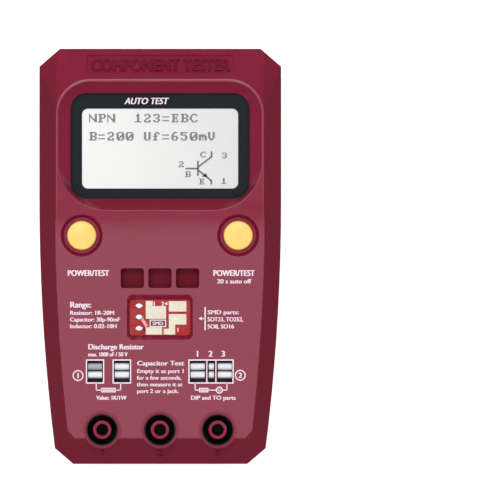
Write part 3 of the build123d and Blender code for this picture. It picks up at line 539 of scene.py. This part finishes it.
def add_ring(form, x, y, r_out, width, z, thick=INK):
    """A printed ring."""
    rims = []
    middle = Matrix.Translation((x, y, z))
    for r in (r_out, r_out - width):
        made = bmesh.ops.create_circle(form, segments=48, radius=r, matrix=middle)
        rims += [e for v in made["verts"] for e in v.link_edges]
    faces = bmesh.ops.bridge_loops(form, edges=list(set(rims)))["faces"]
    raise_faces(form, faces, thick)


def raise_faces(form, faces, thick):
    """Gives flat faces a thickness, with their undersides kept, so the result is closed."""
    made = bmesh.ops.extrude_face_region(form, geom=faces, use_keep_orig=True)
    verts = [v for v in made["geom"] if isinstance(v, bmesh.types.BMVert)]
    bmesh.ops.translate(form, vec=Vector((0, 0, 1)) * thick, verts=verts)
    bmesh.ops.recalc_face_normals(form, faces=form.faces)


def letters(text, height, width=None, slant=0.0, thick=INK, align="CENTER"):
    """Text as a bmesh in millimetres, standing on the origin, its capitals height tall."""
    curve = bpy.data.curves.new("letters", "FONT")
    curve.body = text
    curve.align_x = align
    curve.size = 1.0
    curve.shear = slant
    curve.resolution_u = 4
    holder = bpy.data.objects.new("letters", curve)
    flat = bpy.data.meshes.new_from_object(holder)
    form = bmesh.new()
    form.from_mesh(flat)
    bpy.data.objects.remove(holder)
    bpy.data.curves.remove(curve)
    bpy.data.meshes.remove(flat)
    bmesh.ops.remove_doubles(form, verts=form.verts, dist=1e-5)
    xs = [v.co.x for v in form.verts]
    up = height / CAPITAL
    across = width / (max(xs) - min(xs)) if width else up
    bmesh.ops.scale(form, vec=(across, up, 1), verts=form.verts)
    raise_faces(form, list(form.faces), thick)
    return form


def add_letters(form, text, x, y, z, height, matrix=None, bold=0.0, **how):
    """Adds text with the middle of its capitals at y; bold draws two more copies, to its left and right."""
    apart = bold * height
    copies = [(-apart, 0), (0, COPY_STEP), (apart, 2 * COPY_STEP)] if bold else [(0, 0)]
    for aside, above in copies:
        made = letters(text, height, **how)
        place = (matrix or Matrix()) @ Matrix.Translation((x + aside, y - height / 2, z + above))
        bmesh.ops.transform(made, matrix=place, verts=made.verts)
        held = bpy.data.meshes.new("held")
        made.to_mesh(held)
        made.free()
        form.from_mesh(held)
        bpy.data.meshes.remove(held)


# --- prints on the face ---------------------------------------------------------------------------
def print_button_words():
    form = bmesh.new()
    for x in (-23.6, 24.4):
        add_heading(form, "POWER/TEST", x, -5.5, width=13.5)
    add_letters(form, "20 s auto off", 24.4, -8.2, FACE_Z, 1.4, width=11.2, bold=SMALL_BOLD)
    place_piece("print_button_words", form, "print")


def print_ranges():
    form = bmesh.new()
    add_heading(form, "Range:", -29.7, -15.9, width=6.8, align="LEFT")
    rows = [("Resistor: 1R-20M", 14.4), ("Capacitor: 30p-90mF", 16.4), ("Inductor: 0.02-10H", 15.2)]
    add_rows(form, rows, -29.7, -18.6, 2.2)
    place_piece("print_ranges", form, "print")


def print_smd_words():
    form = bmesh.new()
    add_stroke(form, (14.9, -16.8), (14.9, -24.2), 0.42, FACE_Z)
    add_stroke(form, (14.9, -20.5), (13.7, -20.5), 0.3, FACE_Z)
    add_arrow_tip(form, 13.5, -20.5, 0.75, FACE_Z)
    rows = [("SMD parts:", 10.2), ("SOT23, TO252,", 11.6), ("SO8, SO16", 8.6)]
    add_rows(form, rows, 15.7, -18.4, 2.35)
    place_piece("print_smd_words", form, "print")


def print_left_port():
    form = bmesh.new()
    add_heading(form, "Discharge Resistor", -23.7, -29.8, height=1.75, width=18.1, align="LEFT")
    add_rows(form, [("max. 1000 uF / 50 V", 12.9)], -23.7, -32.3, 0)
    windows = [(-24.0, -18.8), (-15.2, -9.9)]
    for low, high in windows:
        print_frame(form, low, high)
    feet = [sum(w) / 2 + 0.4 * side for w, side in zip(windows, (1, -1))]
    add_wires_down(form, feet)
    middle = sum(feet) / 2
    add_low_wire(form, feet[0], middle - 2.3)
    add_low_wire(form, middle + 2.3, feet[1])
    add_resistor(form, (middle - 2.4, middle + 2.4), (middle - 1.9, middle + 1.9))
    add_letters(form, "Value: 1K/1W", -16.0, -46.6, FACE_Z, SMALL, width=9.9, bold=SMALL_BOLD)
    add_circled(form, "1", -27.0, -39.3)
    place_piece("print_left_port", form, "print")


def print_right_port():
    form = bmesh.new()
    for text, x in (("1", 12.4), ("2", 16.7), ("3", 20.9)):
        add_heading(form, text, x, -32.1)
    print_frame(form, 9.8, 23.9)
    for x in (15.45, 18.45):
        add_stroke(form, (x, -34.4), (x, -41.5), WIRE, FACE_Z)
    add_wires_down(form, (11.6, 22.1))
    for start, end in ((11.6, 12.9), (16.0, 18.4), (20.8, 22.1)):
        add_low_wire(form, start, end)
    add_resistor(form, (12.9, 16.0), (13.4, 15.5))
    add_ring(form, 19.6, WIRE_LOW_Y, 1.15, OUTLINE, FACE_Z)
    add_heading(form, "G", 19.6, WIRE_LOW_Y, height=0.9)
    add_letters(form, "DIP and TO parts", 17.6, -46.6, FACE_Z, SMALL, width=14.6, bold=SMALL_BOLD)
    add_circled(form, "2", 26.5, -39.2)
    place_piece("print_right_port", form, "print")


def print_steps():
    form = bmesh.new()
    add_heading(form, "Capacitor Test", 0.2, -35.2, height=1.5, width=15.4)
    rows = [
        ("Empty it at port 1", 15.2), ("for a few seconds,", 14.6),
        ("then measure it at", 15.0), ("port 2 or a jack.", 13.6),
    ]
    add_rows(form, rows, -7.6, -37.8, 2.2, height=1.3, bold=0.045)
    place_piece("print_steps", form, "print")


def add_heading(form, text, x, y, height=HEADING, **how):
    add_letters(form, text, x, y, FACE_Z, height, bold=HEADING_BOLD, **how)


def add_rows(form, rows, x, y, pitch, height=SMALL, bold=SMALL_BOLD):
    """Rows of small print that start at x, one below the other; each row says its width."""
    for i, (row, width) in enumerate(rows):
        add_letters(form, row, x, y - pitch * i, FACE_Z, height, width=width, bold=bold, align="LEFT")


def add_wires_down(form, places):
    """Drawn wires from a port's frame down to the low wire."""
    for x in places:
        add_stroke(form, (x, -41.8), (x, WIRE_LOW_Y), WIRE, FACE_Z)


def add_low_wire(form, start, end):
    add_stroke(form, (start, WIRE_LOW_Y), (end, WIRE_LOW_Y), WIRE, FACE_Z)


def add_resistor(form, outside, inside):
    """A resistor's symbol on the low wire, with a bar in it."""
    add_outline(form, outside, (WIRE_LOW_Y - 0.75, WIRE_LOW_Y + 0.75), OUTLINE)
    add_box(form, inside, (WIRE_LOW_Y - 0.2, WIRE_LOW_Y + 0.2), (FACE_Z, FACE_Z + INK))


def print_frame(form, low, high):
    """The white frame around the windows between low and high."""
    add_outline(form, (low - 0.42, high + 0.42), (-41.95, -33.98), 0.4)


def add_outline(form, x, y, width, z=FACE_Z):
    """A printed rectangle's outline."""
    for side_y in (y[0] + width / 2, y[1] - width / 2):
        add_box(form, x, (side_y - width / 2, side_y + width / 2), (z, z + INK))
    for side_x in (x[0] + width / 2, x[1] - width / 2):
        add_box(form, (side_x - width / 2, side_x + width / 2), (y[0] + width, y[1] - width), (z, z + INK))


def add_circled(form, text, x, y):
    add_ring(form, x, y, 1.8, OUTLINE, FACE_Z)
    add_heading(form, text, x, y, height=1.75)


def print_border_words():
    form = bmesh.new()
    add_letters(form, "AUTO TEST", -4.6, 51.3, LENS_TOP, 2.1, width=14.6, bold=0.045, slant=0.25)
    place_piece("print_border_words", form, "print")


# --- raised lettering -----------------------------------------------------------------------------
def label_letters():
    """Raised lettering in the pocket on the sloping display end."""
    middle_y = (HALF_LENGTH + CREST_END_Y) / 2
    middle_z = (SHOULDER_Z + CREST_Z) / 2
    slope = Matrix.Translation((0, middle_y, middle_z)) @ Matrix.Rotation(BAND_ANGLE, 4, "X")
    form = bmesh.new()
    add_letters(
        form, "COMPONENT TESTER", 0, -0.3, -LABEL_DEPTH - 0.02, 5.2, matrix=slope,
        width=45.5, bold=0.05, thick=0.36,
    )
    place_piece("label_letters", form, "label_red")


def jack_numerals():
    """Raised numerals on the bevel below the jacks."""
    run = HALF_LENGTH + FOOT_END_Y
    away = 5.5
    z = CREST_Z - away * (CREST_Z - SHOULDER_Z) / run
    angle = atan2(CREST_Z - SHOULDER_Z, run)
    slope = Matrix.Translation((0, FOOT_END_Y - away, z)) @ Matrix.Rotation(angle, 4, "X")
    form = bmesh.new()
    for text, x in (("1", -JACK_X), ("2", 0), ("3", JACK_X)):
        add_letters(form, text, x, 0, -0.05, 3.0, matrix=slope, bold=0.04, thick=0.25)
    place_piece("jack_numerals", form, "label_red")


# --- display --------------------------------------------------------------------------------------
GLYPHS = {
    "N": "1000011 1100011 1110011 1011011 1001111 1000111 1000011",
    "P": "1111110 0110011 0110011 0111110 0110000 0110000 1111000",
    "1": "0011000 0111000 0011000 0011000 0011000 0011000 1111110",
    "2": "0111100 1100110 0000110 0011100 0110000 1100110 1111110",
    "3": "0111100 1100110 0000110 0011100 0000110 1100110 0111100",
    "=": "0000000 0000000 1111110 0000000 0000000 1111110 0000000",
    "E": "1111110 0110010 0110100 0111100 0110100 0110010 1111110",
    "B": "1111110 0110011 0110011 0111110 0110011 0110011 1111110",
    "C": "0011110 0110011 1100000 1100000 1100000 0110011 0011110",
    "0": "0111110 1100011 1100111 1101111 1111011 1110011 0111110",
    "5": "1111110 1100000 1111100 0000110 0000110 1100110 0111100",
    "6": "0011100 0110000 1100000 1111100 1100110 1100110 0111100",
    "U": "1100110 1100110 1100110 1100110 1100110 1100110 0111100",
    "f": "0011100 0110110 0110000 1111000 0110000 0110000 1111000",
    "m": "0000000 0000000 1111110 1111111 1101011 1101011 1101011",
    "V": "1100110 1100110 1100110 1100110 1100110 0111100 0011000",
    " ": "",
}


def add_glyphs(form, text, x, y, dot):
    """A row of characters in dots, whose top left corner is at x, y."""
    for column, letter in enumerate(text):
        for line, bits in enumerate(GLYPHS[letter].split()):
            for i, bit in enumerate(bits):
                if bit == "1":
                    add_dot(form, x + (column * 8 + i) * dot[0], y - line * dot[1], dot)


def add_dot(form, left, top, dot):
    """One dark dot, with half of the gap between dots left around it."""
    place = Matrix.Translation((left + dot[0] / 2, top - dot[1] / 2, GLASS_TOP + INK))
    size = Matrix.Diagonal((0.96 * dot[0], 0.96 * dot[1], 1, 1))
    bmesh.ops.create_grid(form, x_segments=1, y_segments=1, size=0.5, matrix=place @ size)


def display_readout():
    """Two lines of text and a transistor's symbol in dark dots."""
    form = bmesh.new()
    add_glyphs(form, "NPN  123=EBC", -23.5, 47.1, DOT)
    add_glyphs(form, "B=200 Uf=650mV", -23.5, 41.1, DOT)
    add_symbol(form)
    place_piece("display_readout", form, "dot")


def add_symbol(form):
    """A transistor's symbol with its three leads named and numbered."""
    lines = [
        ((8.5, 29.0), (12.5, 29.0)), ((12.5, 31.4), (12.5, 26.7)),
        ((12.8, 29.7), (17.0, 32.9)), ((17.0, 32.9), (17.0, 34.6)),
        ((12.8, 28.3), (16.9, 25.0)), ((16.9, 25.0), (16.9, 23.9)),
    ]
    for start, end in lines:
        add_stroke(form, start, end, 0.62, GLASS_TOP)
    for i in range(4):  # the arrow on the emitter, a fan of shorter and shorter strokes
        start, end = (13.9 + 0.25 * i, 26.4 + 0.12 * i), (15.6 - 0.15 * i, 26.4 + 0.36 * i)
        add_stroke(form, start, end, 0.3, GLASS_TOP)
    places = [
        ("2", 6.1, 31.4), ("B", 8.2, 28.1), ("C", 13.2, 34.6),
        ("3", 20.4, 34.3), ("E", 12.9, 25.7), ("1", 20.2, 25.9),
    ]
    for text, x, y in places:
        add_glyphs(form, text, x, y, SMALL_DOT)


# --- test board -----------------------------------------------------------------------------------
def smd_print():
    """The small print on the test board, with a dark field under its label."""
    z = SMD_TOP
    form = bmesh.new()
    add_box(form, (-3.1, 1.7), (-23.0, -21.2), (z, z + INK))
    place_piece("smd_label_field", form, "plum")
    form = bmesh.new()
    for text, x, y in (("1", -1.9, -15.6), ("2", 0.9, -15.6), ("1", 5.9, -24.2)):
        add_letters(form, text, x, y, z, 1.3, bold=0.05)
    add_arrow_tip(form, 2.1, -15.6, 0.65, z)
    add_outline(form, (-3.4, 2.0), (-23.3, -20.9), 0.3, z)
    add_letters(form, "SMD", -0.7, -22.1, z + INK, 1.15, width=3.4, bold=0.04)
    place_piece("smd_print", form, "print")
    form = bmesh.new()
    add_stroke(form, (-5.9, -20.7), (-4.5, -22.9), 1.0, z, 0.06)
    place_piece("smd_bare_trace", form, "pink_trace")


def add_arrow_tip(form, x, y, r, z):
    """A small triangle that points to the left."""
    matrix = Matrix.Translation((x, y, z)) @ Matrix.Rotation(pi / 2, 4, "Z")
    tip = bmesh.ops.create_circle(form, cap_ends=True, segments=3, radius=r, matrix=matrix)
    raise_faces(form, list({f for v in tip["verts"] for f in v.link_faces}), INK)


def smd_traces():
    """Raised copper under the lacquer, from the solder joints to the pads."""
    form = bmesh.new()
    paths = [
        ((-6.9, -16.3), (-4.6, -16.3)), ((-6.9, -20.0), (-5.4, -21.6)), ((-5.4, -21.6), (-5.4, -24.4)),
        ((-5.4, -24.4), (-4.6, -24.6)), ((-6.9, -23.8), (-8.6, -23.8)), ((5.2, -18.6), (5.2, -18.2)),
    ]
    for start, end in paths:
        add_stroke(form, start, end, 0.9, SMD_TOP, 0.04)
    for y in (-16.3, -20.0, -23.8):
        add_ring(form, -6.9, y, 1.5, 0.5, SMD_TOP, 0.05)
    place_piece("smd_traces", form, "mask_red")


# --- back -----------------------------------------------------------------------------------------
def back_marks():
    """Raised marks on the battery cover: the battery's size in a ring."""
    flip = Matrix.Translation((0, 0, BACK_Z)) @ Matrix.Rotation(pi, 4, "Y")
    form = bmesh.new()
    add_letters(form, "9 V", 0, 6.0, -0.02, 5.0, matrix=flip, bold=0.03, thick=0.22)
    add_ring(form, 0, 6.0, 7.0, 0.5, BACK_Z - 0.2, 0.22)
    place_piece("cover_marks", form, "rear_red", "cover")


# --- studio ---------------------------------------------------------------------------------------
def floor():
    form = bmesh.new()
    bmesh.ops.create_grid(form, x_segments=1, y_segments=1, size=3.0)
    mesh = bpy.data.meshes.new("floor")
    form.to_mesh(mesh)
    form.free()
    made = Surface("floor_pale", specular=0.1)
    made.set(Base_Color=(0.9, 0.9, 0.9, 1), Roughness=0.8)
    made.set(Emission_Color=(1, 1, 1, 1), Emission_Strength=0.45)
    mesh.materials.append(made.material)
    piece = bpy.data.objects.new("floor", mesh)
    piece.location.z = -0.1 * MM
    bpy.context.scene.collection.objects.link(piece)
    piece.visible_glossy = False


def softbox(name, place, size, watts):
    """A softbox that looks at the middle of the tester."""
    lamp = bpy.data.lights.new(name, "AREA")
    lamp.shape = "RECTANGLE"
    lamp.size, lamp.size_y = size
    lamp.energy = watts
    lamp.color = (0.95, 0.96, 1.0)
    holder = bpy.data.objects.new(name, lamp)
    holder.location = place
    holder.rotation_mode = "QUATERNION"
    holder.rotation_quaternion = (Vector((0, 0, 0)) - Vector(place)).to_track_quat("-Z", "Y")
    bpy.context.scene.collection.objects.link(holder)


def surroundings():
    """Pale light from above that falls off towards the horizon."""
    world = bpy.data.worlds.new("studio")
    world.use_nodes = True
    tree = world.node_tree
    back = tree.nodes["Background"]
    place = tree.nodes.new("ShaderNodeTexCoord")
    parts = tree.nodes.new("ShaderNodeSeparateXYZ")
    ramp = tree.nodes.new("ShaderNodeValToRGB")
    tree.links.new(place.outputs["Generated"], parts.inputs["Vector"])
    height = tree.nodes.new("ShaderNodeMapRange")
    height.inputs["From Min"].default_value = -1.0
    tree.links.new(parts.outputs["Z"], height.inputs["Value"])
    tree.links.new(height.outputs["Result"], ramp.inputs["Fac"])
    stops = [(0.0, 0.10), (0.5, 0.16), (0.72, 0.55), (0.90, 0.70), (0.97, 0.16), (1.0, 0.10)]
    elements = ramp.color_ramp.elements
    while len(elements) < len(stops):
        elements.new(0.5)
    for element, (at, level) in zip(elements, stops):
        element.position = at
        element.color = (level, level, level, 1)
    tree.links.new(ramp.outputs["Color"], back.inputs["Color"])
    back.inputs["Strength"].default_value = 0.7
    bpy.context.scene.world = world


def camera():
    """A long lens straight above, a little to the right of the tester."""
    data = bpy.data.cameras.new("camera")
    data.lens = 500
    data.sensor_width = 36
    data.clip_start, data.clip_end = 0.1, 20
    holder = bpy.data.objects.new("camera", data)
    holder.location = (29.7 * MM, 2.1 * MM, FACE_Z * MM + 2.29)
    bpy.context.scene.collection.objects.link(holder)
    bpy.context.scene.camera = holder


def studio():
    floor()
    surroundings()
    softbox("key", (-0.15, 0.75, 1.55), (1.2, 0.6), 15)
    softbox("left", (-0.85, 0.05, 1.45), (0.6, 1.1), 8)
    softbox("right", (0.85, 0.05, 1.45), (0.6, 1.1), 7)
    softbox("low", (0.0, -0.75, 1.55), (1.1, 0.5), 8)
    bpy.context.scene.view_settings.view_transform = "Standard"
    camera()


# --- the whole ------------------------------------------------------------------------------------
finish_nodes()
print_button_words()
print_ranges()
print_smd_words()
print_left_port()
print_right_port()
print_steps()
print_border_words()
label_letters()
jack_numerals()
display_readout()
smd_print()
smd_traces()
back_marks()
studio()
